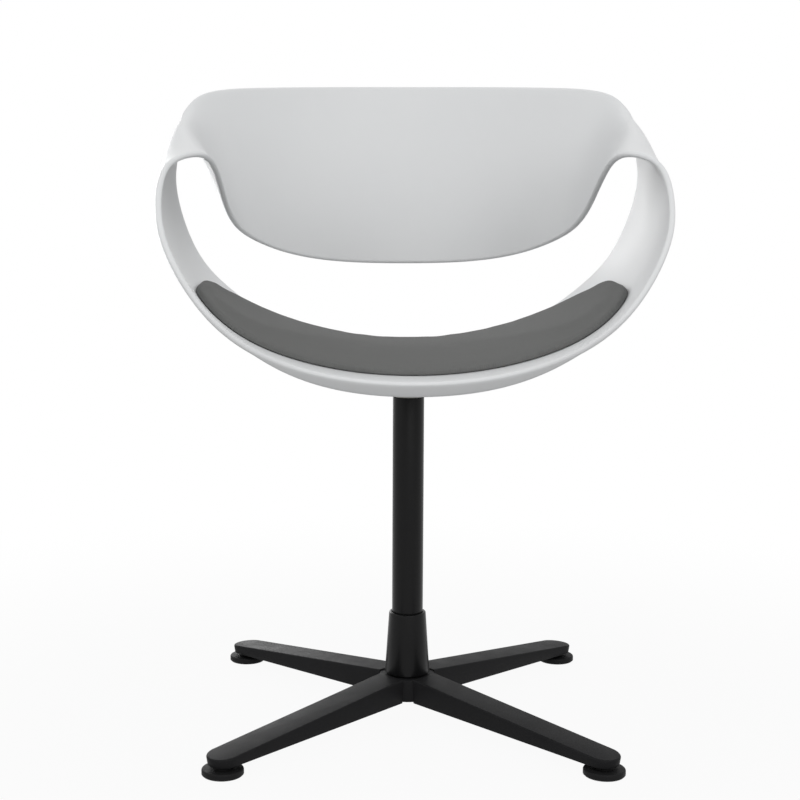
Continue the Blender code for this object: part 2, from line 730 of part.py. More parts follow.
star = turned("star_base", [
    (0, HUB_BOTTOM + EDGE), (HUB_R - EDGE, HUB_BOTTOM + EDGE), (HUB_R, HUB_BOTTOM + 2 * EDGE),
    (HUB_R, HUB_TOP - EDGE), (HUB_R - EDGE, HUB_TOP), (0, HUB_TOP)], 48)
for angle in DIRECTIONS:
    rings = [
        leg_ring(LEG_DRAFT + EDGE, leg_low, 0), leg_ring(LEG_DRAFT, leg_low, -EDGE),
        leg_ring(0, leg_top, LEG_ROUND), leg_ring(LEG_ROUND * 0.3, leg_top, LEG_ROUND * 0.3),
        leg_ring(LEG_ROUND, leg_top, 0)]
    combine(star, turned_to(add_mesh("leg", *skin(rings)), angle), "UNION")

tools = []
pocket_from = HUB_R + POCKET_FROM_HUB
pocket_to = FOOT_RADIUS - POCKET_FROM_FOOT
pitch = (pocket_to - pocket_from + RIB_THICK) / POCKET_COUNT
for angle in DIRECTIONS:
    for number in range(POCKET_COUNT):
        near = pocket_from + number * pitch
        far = near + pitch - RIB_THICK
        half = LEG_WIDTH / 2 - LEG_DRAFT - LEG_SKIN
        mouth = [(near, -half), (far, -half), (far, half), (near, half)]
        inner = half - POCKET_DRAFT
        roof_near, roof_far = near + POCKET_DRAFT, far - POCKET_DRAFT
        roof = [(roof_near, -inner), (roof_far, -inner), (roof_far, inner), (roof_near, inner)]
        rings = [
            [(x, y, leg_low(x) - LEG_SKIN) for x, y in mouth],
            [(x, y, leg_top(x) - LEG_SKIN) for x, y in roof]]
        tools.append(turned_to(add_mesh("pocket", *skin(rings)), angle))
    at = (FOOT_RADIUS * math.cos(angle), FOOT_RADIUS * math.sin(angle), 0)
    tools.append(drill(STEM_D / 2 + FIT_GAP, END_BOTTOM - STEM_ROOF, STEM_TOP + 2 * FIT_GAP, at, 16))
recess = HUB_BOTTOM + BOLT_HEAD_H + WASHER_H + EDGE
recess_r = WASHER_D / 2 + RECESS_ROOM
below, above = HUB_BOTTOM - LEG_SKIN, HUB_TOP + LEG_SKIN
tools.append(turned("recess", [
    (0, below), (recess_r, below), (recess_r, recess), (bolt_bore, recess), (bolt_bore, above),
    (0, above)], 32))
combine(star, joined("star_tools", tools), "DIFFERENCE")
finish(shaded(star, 35), BLACK_COAT, 0.42, 0.35)

washer_top = recess - SEAT_GAP
washer = turned("clamp_washer", [
    (bolt_bore, washer_top - WASHER_H), (WASHER_D / 2, washer_top - WASHER_H), (WASHER_D / 2, washer_top),
    (bolt_bore, washer_top)], 24)
finish(shaded(washer), BARE_STEEL, 0.35, 1.0)

head_top = washer_top - WASHER_H - SEAT_GAP
head_low = head_top - BOLT_HEAD_H
head_r = BOLT_HEAD_D / 2
bolt_tip = COLUMN_BASE + 0.9 * PLUG_H
bolt = turned("clamp_bolt", [
    (0, head_low), (head_r - EDGE, head_low), (head_r, head_low + EDGE), (head_r, head_top),
    (BOLT_D / 2, head_top), (BOLT_D / 2, bolt_tip - EDGE), (BOLT_D / 2 - EDGE, bolt_tip), (0, bolt_tip)], 18)
combine(bolt, drill(HEX_KEY, head_low - EDGE, head_top - 0.4 * BOLT_HEAD_H, sides=6), "DIFFERENCE")
finish(shaded(bolt), BARE_STEEL, 0.35, 1.0)

# Levelling glides: a round foot moulded on a threaded stem that screws into each leg end

stem_r = STEM_D / 2
stem_low = GLIDE_SOLE + SEAT_GAP
neck_top = END_BOTTOM - SEAT_GAP
names = ["rr", "lr", "lf", "rf"]
for name, angle in zip(names, DIRECTIONS):
    at = (FOOT_RADIUS * math.cos(angle), FOOT_RADIUS * math.sin(angle), 0)
    r = GLIDE_D / 2
    neck_r = GLIDE_NECK_D / 2
    foot = turned(f"glide_foot_{name}", [
        (0, 0), (r - 1.5 * EDGE, 0), (r, 1.5 * EDGE), (r, GLIDE_H - GLIDE_ROUND), (r - GLIDE_ROUND, GLIDE_H),
        (neck_r, GLIDE_H + FINE_EDGE), (neck_r - GLIDE_NECK_TAPER, neck_top),
        (stem_r + FIT_GAP, neck_top), (stem_r + FIT_GAP, GLIDE_SOLE), (0, GLIDE_SOLE)],
        28, at)
    finish(shaded(foot, 30), BLACK_PLASTIC, 0.55, 0.0)
    stem = turned(f"glide_stem_{name}", [
        (0, stem_low), (stem_r, stem_low), (stem_r, STEM_TOP - EDGE), (stem_r - EDGE, STEM_TOP),
        (0, STEM_TOP)], 16, at)
    finish(shaded(stem), BARE_STEEL, 0.35, 1.0)
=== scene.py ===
import math

import bmesh
import bpy
import numpy as np
from mathutils import Matrix, Vector, kdtree


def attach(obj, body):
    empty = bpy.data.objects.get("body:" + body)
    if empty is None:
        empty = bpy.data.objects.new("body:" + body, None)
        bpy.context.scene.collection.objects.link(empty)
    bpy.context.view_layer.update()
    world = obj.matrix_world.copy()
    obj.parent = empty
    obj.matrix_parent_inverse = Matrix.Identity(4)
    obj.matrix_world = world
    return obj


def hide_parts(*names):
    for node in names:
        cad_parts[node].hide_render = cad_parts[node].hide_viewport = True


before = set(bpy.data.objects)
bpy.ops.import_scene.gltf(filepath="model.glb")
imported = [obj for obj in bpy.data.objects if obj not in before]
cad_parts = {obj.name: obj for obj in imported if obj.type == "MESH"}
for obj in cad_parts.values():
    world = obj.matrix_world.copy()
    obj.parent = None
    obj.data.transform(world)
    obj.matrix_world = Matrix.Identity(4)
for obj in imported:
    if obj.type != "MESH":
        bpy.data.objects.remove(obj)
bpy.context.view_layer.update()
scene = bpy.context.scene
print("frame loaded with", len(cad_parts), "nodes")


# ways of making a piece

def asMesh(name, bm):
    bmesh.ops.remove_doubles(bm, verts=bm.verts, dist=1e-6)
    bmesh.ops.recalc_face_normals(bm, faces=bm.faces)
    mesh = bpy.data.meshes.new(name)
    bm.to_mesh(mesh)
    bm.free()
    return mesh


def addObject(name, mesh):
    obj = bpy.data.objects.new(name, mesh)
    scene.collection.objects.link(obj)
    return obj


def smoothTo(obj, degrees):  # soft shading, sharp where faces meet at more than this
    obj.data.shade_smooth()
    obj.data.set_sharp_from_angle(angle=math.radians(degrees))


def place(obj, body, slotName, material, *nodes):
    obj.data.materials.clear()
    obj.data.materials.append(material)
    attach(obj, body)
    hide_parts(*nodes)
    return obj


def bake(obj):  # applies what the modifiers make
    bpy.context.view_layer.update()
    graph = bpy.context.evaluated_depsgraph_get()
    mesh = bpy.data.meshes.new_from_object(obj.evaluated_get(graph))
    obj.modifiers.clear()
    obj.data = mesh


def cut(obj, tool, how="DIFFERENCE"):
    mod = obj.modifiers.new("cut", "BOOLEAN")
    mod.operation = how
    mod.solver = "EXACT"
    mod.object = tool
    bake(obj)
    bpy.data.objects.remove(tool, do_unlink=True)


def lathe(profile, steps=72, round=0.0, closed=False, at=(0, 0, 0)):
    # profile of (radius, height), turned about the vertical
    bm = bmesh.new()
    dots = [bm.verts.new((r, 0, z)) for r, z in profile]
    ends = dots[1:] + dots[:1] if closed else dots[1:]
    lines = [bm.edges.new(pair) for pair in zip(dots, ends)]
    bmesh.ops.spin(bm, geom=dots + lines, cent=(0, 0, 0), axis=(0, 0, 1), angle=2 * math.pi,
                   steps=steps, use_merge=True)
    bmesh.ops.remove_doubles(bm, verts=bm.verts, dist=1e-6)
    bmesh.ops.recalc_face_normals(bm, faces=bm.faces)
    if round:
        roundEdges(bm, round, 28)
    bmesh.ops.translate(bm, vec=at, verts=bm.verts)
    return bm


def roundEdges(bm, offset, degrees, segments=3):
    least = math.radians(degrees)
    sharp = [e for e in bm.edges if len(e.link_faces) == 2 and e.calc_face_angle(0) > least]
    bmesh.ops.bevel(bm, geom=sharp, offset=offset, offset_type="OFFSET", affect="EDGES",
                    segments=segments, profile=0.5, material=-1, clamp_overlap=True)


def bevelEdges(bm, edges, offset, segments):
    bmesh.ops.bevel(bm, geom=edges, offset=offset, affect="EDGES", segments=segments,
                    profile=0.5, material=-1)


def rod(radius, low, high, steps, round=0.0, at=(0, 0, 0)):  # plain round bar
    return lathe([(0, low), (radius, low), (radius, high), (0, high)], steps, round, at=at)


def gather(name, parts):  # several loose forms in one tool
    bm = bmesh.new()
    for part in parts:
        mesh = asMesh(name, part)
        bm.from_mesh(mesh)
        bpy.data.meshes.remove(mesh)
    return addObject(name, asMesh(name, bm))


def aim(bm, spot, normal):  # stands an upright piece on a point of the seat
    turn = Vector((0, 0, 1)).rotation_difference(Vector(normal)).to_matrix()
    bmesh.ops.rotate(bm, cent=(0, 0, 0), matrix=turn, verts=bm.verts)
    bmesh.ops.translate(bm, vec=spot, verts=bm.verts)


# finishes

def newGroup(name, inputs, outputs):
    group = bpy.data.node_groups.new(name, "ShaderNodeTree")
    for label, kind, value in inputs:
        socket = group.interface.new_socket(name=label, in_out="INPUT", socket_type=kind)
        if value is not None:
            socket.default_value = value
    for label in outputs:
        group.interface.new_socket(name=label, in_out="OUTPUT", socket_type="NodeSocketFloat")
    return group, group.nodes.new("NodeGroupInput"), group.nodes.new("NodeGroupOutput")


def mathNode(tree, operation, first, second=None, third=None):
    node = tree.nodes.new("ShaderNodeMath")
    node.operation = operation
    for socket, value in zip(node.inputs, (first, second, third)):
        if value is None:
            continue
        if isinstance(value, (int, float)):
            socket.default_value = value
        else:
            tree.links.new(value, socket)
    return node.outputs[0]


def noiseNode(tree, vector, scale, detail, rough=0.5):
    node = tree.nodes.new("ShaderNodeTexNoise")
    node.inputs["Detail"].default_value = detail
    node.inputs["Roughness"].default_value = rough
    tree.links.new(vector, node.inputs["Vector"])
    if isinstance(scale, (int, float)):
        node.inputs["Scale"].default_value = scale
    else:
        tree.links.new(scale, node.inputs["Scale"])
    return node.outputs["Fac"]


grainLook = dict(mottleLow=0.3, mottleHigh=0.7, speckScale=0.55, speckLow=0.62, speckHigh=0.74,
                 speckShare=0.35, bump=0.35)


def makeGrainGroup():
    # fine surface texture, slow mottling and sparse specks
    group, source, sink = newGroup(
        "surfaceGrain",
        [("Vector", "NodeSocketVector", None), ("Grain", "NodeSocketFloat", 900.0),
         ("Mottle", "NodeSocketFloat", 14.0)],
        ["Height", "Mottle", "Specks"])
    grain = noiseNode(group, source.outputs["Vector"], source.outputs["Grain"], 3.0, 0.6)
    slow = noiseNode(group, source.outputs["Vector"], source.outputs["Mottle"], 4.0, 0.55)
    spread = group.nodes.new("ShaderNodeMapRange")
    spread.inputs["From Min"].default_value = grainLook["mottleLow"]
    spread.inputs["From Max"].default_value = grainLook["mottleHigh"]
    group.links.new(slow, spread.inputs["Value"])
    fine = mathNode(group, "MULTIPLY", source.outputs["Grain"], grainLook["speckScale"])
    dots = noiseNode(group, source.outputs["Vector"], fine, 1.0)
    specks = group.nodes.new("ShaderNodeMapRange")
    specks.inputs["From Min"].default_value = grainLook["speckLow"]
    specks.inputs["From Max"].default_value = grainLook["speckHigh"]
    group.links.new(dots, specks.inputs["Value"])
    group.links.new(grain, sink.inputs["Height"])
    group.links.new(spread.outputs["Result"], sink.inputs["Mottle"])
    group.links.new(specks.outputs["Result"], sink.inputs["Specks"])
    return group


weaveLook = dict(threads=720.0, swayScale=60.0, sway=0.9, dip=0.35, rest=0.65, fleckScale=420.0,
                 fleckShare=0.9, bump=0.55, depth=0.00035)


def waveNode(tree, operation, value):  # half a turn for each thread
    return mathNode(tree, operation, mathNode(tree, "MULTIPLY", value, math.pi))


def makeWeaveGroup():
    # plain weave: threads one way pass over and under those of the other way
    group, source, sink = newGroup(
        "plainWeave",
        [("Vector", "NodeSocketVector", None), ("Threads", "NodeSocketFloat", 900.0)],
        ["Height", "Warp", "Melange"])
    parts = group.nodes.new("ShaderNodeSeparateXYZ")
    group.links.new(source.outputs["Vector"], parts.inputs[0])
    sway = noiseNode(group, source.outputs["Vector"], weaveLook["swayScale"], 2.0)
    sway = mathNode(group, "MULTIPLY", sway, weaveLook["sway"])
    u = mathNode(group, "MULTIPLY_ADD", parts.outputs["X"], source.outputs["Threads"], sway)
    v = mathNode(group, "MULTIPLY_ADD", parts.outputs["Y"], source.outputs["Threads"], sway)
    warpRound = mathNode(group, "ABSOLUTE", waveNode(group, "SINE", u))
    weftRound = mathNode(group, "ABSOLUTE", waveNode(group, "SINE", v))
    warpTurn = mathNode(group, "ADD", v, mathNode(group, "FLOOR", u))
    weftTurn = mathNode(group, "ADD", u, mathNode(group, "FLOOR", v))
    warpUp = waveNode(group, "COSINE", warpTurn)
    weftUp = waveNode(group, "COSINE", weftTurn)
    warpUp = mathNode(group, "MULTIPLY_ADD", warpUp, weaveLook["dip"], weaveLook["rest"])
    weftUp = mathNode(group, "MULTIPLY_ADD", weftUp, weaveLook["dip"], weaveLook["rest"])
    warp = mathNode(group, "MULTIPLY", warpRound, warpUp)
    weft = mathNode(group, "MULTIPLY", weftRound, weftUp)
    group.links.new(mathNode(group, "MAXIMUM", warp, weft), sink.inputs["Height"])
    group.links.new(mathNode(group, "GREATER_THAN", warp, weft), sink.inputs["Warp"])
    flecks = noiseNode(group, source.outputs["Vector"], weaveLook["fleckScale"], 3.0, 0.7)
    group.links.new(flecks, sink.inputs["Melange"])
    return group


grainGroup = makeGrainGroup()
weaveGroup = makeWeaveGroup()


def newMaterial(name):
    mat = bpy.data.materials.new(name)
    mat.use_nodes = True
    return mat, mat.node_tree, mat.node_tree.nodes["Principled BSDF"]


def useGroup(tree, group, vector, **values):
    node = tree.nodes.new("ShaderNodeGroup")
    node.node_tree = group
    tree.links.new(vector, node.inputs["Vector"])
    for label, value in values.items():
        node.inputs[label].default_value = value
    return node


def objectSpot(tree):
    return tree.nodes.new("ShaderNodeTexCoord").outputs["Object"]


def mixColours(tree, factor, first, second):
    node = tree.nodes.new("ShaderNodeMix")
    node.data_type = "RGBA"
    for socket, value in ((node.inputs[6], first), (node.inputs[7], second)):
        if isinstance(value, tuple):
            socket.default_value = (*value, 1.0)
        else:
            tree.links.new(value, socket)
    tree.links.new(factor, node.inputs[0])
    return node.outputs[2]


def rangeOf(tree, value, low, high):
    node = tree.nodes.new("ShaderNodeMapRange")
    node.inputs["To Min"].default_value = low
    node.inputs["To Max"].default_value = high
    tree.links.new(value, node.inputs["Value"])
    return node.outputs["Result"]


def bumpFrom(tree, height, strength, distance):
    node = tree.nodes.new("ShaderNodeBump")
    node.inputs["Strength"].default_value = strength
    node.inputs["Distance"].default_value = distance
    tree.links.new(height, node.inputs["Height"])
    return node.outputs["Normal"]


def grainedFinish(name, low, high, speck, rough, grain, mottle, depth, metal=0.0, specular=0.5):
    mat, tree, shader = newMaterial(name)
    effect = useGroup(tree, grainGroup, objectSpot(tree), Grain=grain, Mottle=mottle)
    colour = mixColours(tree, effect.outputs["Mottle"], low, high)
    faint = mathNode(tree, "MULTIPLY", effect.outputs["Specks"], grainLook["speckShare"])
    tree.links.new(mixColours(tree, faint, colour, speck), shader.inputs["Base Color"])
    tree.links.new(rangeOf(tree, effect.outputs["Mottle"], *rough), shader.inputs["Roughness"])
    bump = bumpFrom(tree, effect.outputs["Height"], grainLook["bump"], depth)
    tree.links.new(bump, shader.inputs["Normal"])
    shader.inputs["Metallic"].default_value = metal
    shader.inputs["Specular IOR Level"].default_value = specular
    return mat


shellWhite = grainedFinish(
    "shellWhite", (0.700, 0.710, 0.717), (0.716, 0.724, 0.730), (0.732, 0.738, 0.742),
    rough=(0.40, 0.46), grain=1100.0, mottle=9.0, depth=0.00012, specular=0.42)
coatBlack = grainedFinish(
    "coatBlack", (0.0125, 0.0125, 0.0132), (0.0155, 0.0155, 0.0162), (0.030, 0.030, 0.031),
    rough=(0.42, 0.52), grain=1300.0, mottle=30.0, depth=0.00022, specular=0.045)
tubeBlack = grainedFinish(
    "tubeBlack", (0.0035, 0.0035, 0.0038), (0.0048, 0.0048, 0.0050), (0.012, 0.012, 0.012),
    rough=(0.28, 0.34), grain=1300.0, mottle=30.0, depth=0.00012, specular=0.16)
screwBlack = grainedFinish(
    "screwBlack", (0.020, 0.020, 0.022), (0.034, 0.033, 0.033), (0.06, 0.058, 0.055),
    rough=(0.34, 0.46), grain=2200.0, mottle=160.0, depth=0.00008, metal=0.6)
plasticBlack = grainedFinish(
    "plasticBlack", (0.0085, 0.0085, 0.009), (0.011, 0.011, 0.0115), (0.018, 0.018, 0.018),
    rough=(0.50, 0.62), grain=1900.0, mottle=60.0, depth=0.00018, specular=0.10)
boardBlack = grainedFinish(
    "boardBlack", (0.024, 0.024, 0.024), (0.034, 0.034, 0.034), (0.05, 0.05, 0.05),
    rough=(0.62, 0.74), grain=700.0, mottle=40.0, depth=0.0003)
zincSteel = grainedFinish(
    "zincSteel", (0.43, 0.43, 0.45), (0.52, 0.52, 0.53), (0.6, 0.6, 0.6),
    rough=(0.28, 0.42), grain=2600.0, mottle=220.0, depth=0.00006, metal=1.0)
turnedBrass = grainedFinish(
    "turnedBrass", (0.56, 0.39, 0.14), (0.66, 0.47, 0.19), (0.72, 0.54, 0.26),
    rough=(0.28, 0.40), grain=2600.0, mottle=260.0, depth=0.00006, metal=1.0)
bushPolymer = grainedFinish(
    "bushPolymer", (0.52, 0.51, 0.47), (0.57, 0.56, 0.52), (0.62, 0.61, 0.58),
    rough=(0.44, 0.54), grain=1500.0, mottle=80.0, depth=0.0001)


def clothFinish():
    mat, tree, shader = newMaterial("padCloth")
    mapped = tree.nodes.new("ShaderNodeUVMap")
    mapped.uv_map = "weave"
    effect = useGroup(tree, weaveGroup, mapped.outputs["UV"], Threads=weaveLook["threads"])
    threads = mixColours(tree, effect.outputs["Warp"], (0.100, 0.102, 0.100), (0.134, 0.136, 0.133))
    fleck = rangeOf(tree, effect.outputs["Melange"], 0.0, weaveLook["fleckShare"])
    tree.links.new(mixColours(tree, fleck, threads, (0.165, 0.167, 0.163)), shader.inputs["Base Color"])
    tree.links.new(rangeOf(tree, effect.outputs["Height"], 0.96, 0.78), shader.inputs["Roughness"])
    bump = bumpFrom(tree, effect.outputs["Height"], weaveLook["bump"], weaveLook["depth"])
    tree.links.new(bump, shader.inputs["Normal"])
    shader.inputs["Specular IOR Level"].default_value = 0.15
    shader.inputs["Sheen Weight"].default_value = 0.05
    shader.inputs["Sheen Roughness"].default_value = 0.45
    shader.inputs["Sheen Tint"].default_value = (0.8, 0.8, 0.8, 1.0)
    return mat


padCloth = clothFinish()
print("finishes made:", len(bpy.data.materials))


# seat surface: a closed band on three rails, from the seat's middle up the arm to the back's middle

shell = dict(
    halfWidth=0.310, frontReach=0.253, rearReach=0.2473, rim=0.4575, arm=0.7205,
    backLow=0.5765, backTop=0.819, wall=0.007, lipDrop=0.0122, lipSpan=0.200, lipBlend=0.003,
    lipSet=0.009, lipHollow=0.45, round=420, bossWidth=0.022, bossBase=0.4368, bossSpread=0.055,
    bossEdge=0.0006, bossFlare=0.0036, insertHole=0.0048, insertDepth=0.0096, insertRun=0.01,
    screwHole=0.0028, screwX=0.105, screwY=0.085, screwRun=0.014)

frontSeat = [(0.000, -0.806, 0.000), (0.470, -0.866, 0.089), (0.758, -0.986, 0.330), (0.897, -0.880, 0.577),
             (0.948, -0.700, 0.788), (0.926, -0.512, 0.952), (0.839, -0.430, 1.000)]
frontBack = [(0.776, -0.260, 0.930), (0.755, 0.220, 0.570), (0.683, 0.600, 0.266), (0.522, 0.740, 0.104),
             (0.000, 0.780, 0.000)]
middleSeat = [(0.000, 0.000, 0.006), (0.484, 0.004, 0.093), (0.823, -0.016, 0.308), (0.958, -0.048, 0.552),
              (1.000, -0.080, 0.774), (0.994, -0.048, 0.924), (0.971, 0.020, 1.028)]
middleBack = [(0.926, 0.133, 0.715), (0.879, 0.340, 0.683), (0.789, 0.608, 0.598), (0.584, 0.760, 0.540),
              (0.000, 0.862, 0.507)]
rearSeat = [(0.000, 0.840, -0.018), (0.484, 0.872, 0.080), (0.812, 0.860, 0.332), (0.938, 0.688, 0.552),
            (0.990, 0.512, 0.800), (0.989, 0.432, 0.940), (0.973, 0.424, 1.036)]
rearTop = [(0.966, 0.448, 0.317), (0.949, 0.528, 0.574), (0.868, 0.664, 0.872), (0.629, 0.820, 0.967),
           (0.000, 1.000, 1.000)]


def railPoints(shares, low, high):
    points = []
    for across, along, up in shares:
        reach = shell["frontReach"] if along < 0 else shell["rearReach"]
        points.append((across * shell["halfWidth"], along * reach, low + up * (high - low)))
    return points


def bothSides(half):
    return np.array(half + [(-x, y, z) for x, y, z in half[-2:0:-1]])


def closedRail(points, knots):  # smooth closed curve through the points
    count = len(points)
    gaps = np.diff(knots)
    matrix = np.zeros((count, count))
    right = np.zeros((count, 3))
    for i in range(count):
        before, after = gaps[i - 1], gaps[i]
        matrix[i, i - 1] += before
        matrix[i, i] += 2 * (before + after)
        matrix[i, (i + 1) % count] += after
        ahead, behind = points[(i + 1) % count] - points[i], points[i] - points[i - 1]
        right[i] = 6 * (ahead / after - behind / before)
    bend = np.linalg.solve(matrix, right)

    def at(t):
        t = np.mod(t, knots[-1])
        i = np.clip(np.searchsorted(knots, t, side="right") - 1, 0, count - 1)
        j = (i + 1) % count
        h = (knots[i + 1] - knots[i])[..., None]
        b = (t - knots[i])[..., None] / h
        a = 1 - b
        pull = (a ** 3 - a) * bend[i] + (b ** 3 - b) * bend[j]
        slope = (1 - 3 * a * a) * bend[i] + (3 * b * b - 1) * bend[j]
        spot = a * points[i] + b * points[j] + pull * h * h / 6
        return spot, (points[j] - points[i]) / h + slope * h / 6
    return at


middleAll = bothSides(railPoints(middleSeat, shell["rim"], shell["arm"])
                      + railPoints(middleBack, shell["backLow"], shell["backTop"]))
strides = np.linalg.norm(np.roll(middleAll, -1, axis=0) - middleAll, axis=1)
knots = np.concatenate(([0.0], np.cumsum(strides)))
frontRail = closedRail(bothSides(railPoints(frontSeat, shell["rim"], shell["arm"])
                                 + railPoints(frontBack, shell["backLow"], shell["arm"])), knots)
middleRail = closedRail(middleAll, knots)
rearRail = closedRail(bothSides(railPoints(rearSeat, shell["rim"], shell["arm"])
                                + railPoints(rearTop, shell["arm"], shell["backTop"])), knots)


def band(t, v):
    # point in the middle of the wall, the ways along and across, and the normal on the sitting side
    t, v = np.broadcast_arrays(np.asarray(t, float), np.asarray(v, float))
    e, de = frontRail(t)
    m, dm = middleRail(t)
    r, dr = rearRail(t)
    w = v[..., None]
    a, b, c = (1 - w) * (1 - 2 * w), 4 * w * (1 - w), w * (2 * w - 1)
    along = a * de + b * dm + c * dr
    across = (4 * w - 3) * e + (4 - 8 * w) * m + (4 * w - 1) * r
    normal = np.cross(along, across)
    normal /= np.linalg.norm(normal, axis=-1, keepdims=True)
    return a * e + b * m + c * r, along, across, normal


def underPoint(x, y):  # the seat's point that stands over x and y
    t, v = x, 0.5
    for _ in range(40):
        spot, _along, across, _normal = band(t, v)
        t += x - spot[0]
        v += (y - spot[1]) / across[1]
    return band(t, v)


def wallOutlines(stops):
    # closed section of the wall at each stop: sitting side, rear edge, under side, turned-down front lip
    half, wall, blend, hollow = shell["wall"] / 2, shell["wall"], shell["lipBlend"], shell["lipHollow"]
    loop = knots[-1]
    share = np.minimum(1.0, np.minimum(stops, loop - stops) / shell["lipSpan"])
    lip = shell["lipDrop"] * (1 - share ** 3) ** 1.5
    back = shell["lipSet"] * lip / shell["lipDrop"]  # the lip's foot stands back under the rim
    frontPace = np.linalg.norm(band(stops, 0.0)[2], axis=-1)
    rearPace = np.linalg.norm(band(stops, 1.0)[2], axis=-1)
    flat = np.full_like(stops, half)
    marks = []
    first, last = half / frontPace, 1 - half / rearPace
    for k in range(24):
        marks.append((first + (last - first) * k / 24, flat))
    for turn in np.linspace(0, math.pi, 9):
        marks.append((1 - half * (1 - math.sin(turn)) / rearPace, flat * math.cos(turn)))
    inner = (wall + blend + back) / frontPace
    for k in range(1, 18):
        marks.append((last + (inner - last) * k / 18, -flat))
    for k in range(6):  # hollow under the lip
        b = k / 6
        u = (1 - b) ** 2 * (wall + blend) + 2 * b * (1 - b) * (wall + 0.1 * blend) + b * b * wall
        marks.append(((u + back) / frontPace, -flat - lip * hollow * b * b))
    for k in range(5):  # inner round of the lip
        b = k / 5
        u = (1 - b * b) * wall + b * b * half
        down = hollow * (1 - b) ** 2 + 2 * b * (1 - b) + b * b
        marks.append(((u + back) / frontPace, -flat - lip * down))
    for turn in np.linspace(math.pi, 0.75 * math.pi, 4):
        marks.append(((back + half * (1 - math.sin(turn))) / frontPace, flat * math.cos(turn) - lip))
    for k in (0.25, 0.5, 0.75):  # face of the lip
        turn = math.pi * (0.75 - 0.15 * k)
        rise = half * (1 - math.sin(turn))
        marks.append((((1 - k) * back + rise) / frontPace, flat * math.cos(turn) - (1 - k) * lip))
    for turn in np.linspace(0.6 * math.pi, 0, 8)[:-1]:
        marks.append((half * (1 - math.sin(turn)) / frontPace, flat * math.cos(turn)))
    v = np.stack([m[0] for m in marks], axis=1)
    lift = np.stack([m[1] for m in marks], axis=1)
    spot, _along, _across, normal = band(stops[:, None], v)
    return spot + normal * lift[..., None]


def makeShell():
    count = shell["round"]
    stops = knots[-1] * np.arange(count) / count
    outlines = wallOutlines(stops)
    sides = outlines.shape[1]
    bm = bmesh.new()
    bmesh.ops.create_grid(bm, x_segments=count, y_segments=sides, size=1.0)
    for vert in bm.verts:  # the flat sheet is wrapped round the band
        i = round((vert.co.x + 1) / 2 * count) % count
        j = round((vert.co.y + 1) / 2 * sides) % sides
        vert.co = outlines[i, j]
    obj = addObject("seatShell", asMesh("seatShell", bm))
    bosses, holes = [], []
    base, width = shell["bossBase"], shell["bossWidth"] / 2
    edge, flare, run = shell["bossEdge"], shell["bossFlare"], shell["screwRun"]
    for sx in (-1, 1):
        for sy in (-1, 1):
            x, y = sx * shell["bossSpread"], sy * shell["bossSpread"]
            level = float(underPoint(x, y)[0][2])
            foot = level - shell["wall"] / 2
            profile = [(0, base), (width - edge, base), (width, base + edge)]
            for k in range(6):  # flares into the seat
                a = math.radians(18 * k)
                profile.append((width + flare * (1 - math.cos(a)), foot - flare * (1 - math.sin(a))))
            profile += [(width + flare, level), (0, level)]
            bosses.append(lathe(profile, 40, at=(x, y, 0)))
            low, deep = base - shell["insertRun"], base + shell["insertDepth"]
            holes.append(rod(shell["insertHole"], low, deep, 32, at=(x, y, 0)))
            spot, _along, _across, normal = underPoint(sx * shell["screwX"], sy * shell["screwY"])
            hole = rod(shell["screwHole"], -run, run, 24)
            aim(hole, spot, normal)
            holes.append(hole)
    cut(obj, gather("bosses", bosses), "UNION")
    cut(obj, gather("holes", holes))
    smoothTo(obj, 50)
    return place(obj, "seat", "white_shell", shellWhite, "seat_shell")


makeShell()
print("shell made")


# seat pad: the cover over its foam, swollen by cloth pressure

pad = dict(length=0.2962, frontMargin=0.0475, rearMargin=0.045, crown=0.0233, edge=0.0115,
           corner=0.50, lean=0.05, frontCorner=0.42, frontLean=-0.02, roll=0.018, rollStart=12,
           domePower=2.4, domeSoft=0.9, domeEnd=0.82, browShare=0.885, waist=0.0058, foot=0.0016,
           bottomStart=0.90, gap=0.0008, slim=0.0016, cuts=40, voxel=0.0042, pressure=4.0, mass=0.3,
           stretch=12, bend=1.2, quality=6, cap=0.005, frames=20, holdLow=0.003, holdHigh=0.011, near=16)


def padMiddle():
    low = pad["frontMargin"] / np.linalg.norm(band(0.0, 0.1)[2])
    high = 1 - pad["rearMargin"] / np.linalg.norm(band(0.0, 0.9)[2])
    return (low + high) / 2, (high - low) / 2


def padSpots(angle, share, inset, lift):
    middle, spread = padMiddle()
    c, s = np.cos(angle), np.sin(angle)
    power = 2 / np.where(s < 0, pad["frontCorner"], pad["corner"])
    reach = (np.abs(c) ** power + np.abs(s) ** power) ** (-1 / power)
    t = pad["length"] * reach * c
    lean = np.where(s < 0, pad["frontLean"], pad["lean"]) * (reach * c) ** 2
    v = middle + reach * s * (spread - lean)
    pace = np.hypot(t, (v - middle) * np.linalg.norm(band(0.0, 0.5)[2]))
    share = share - inset / pace
    spot, _along, _across, normal = band(t * share, middle + (v - middle) * share)
    return spot + normal * (shell["wall"] / 2 + lift)[..., None]


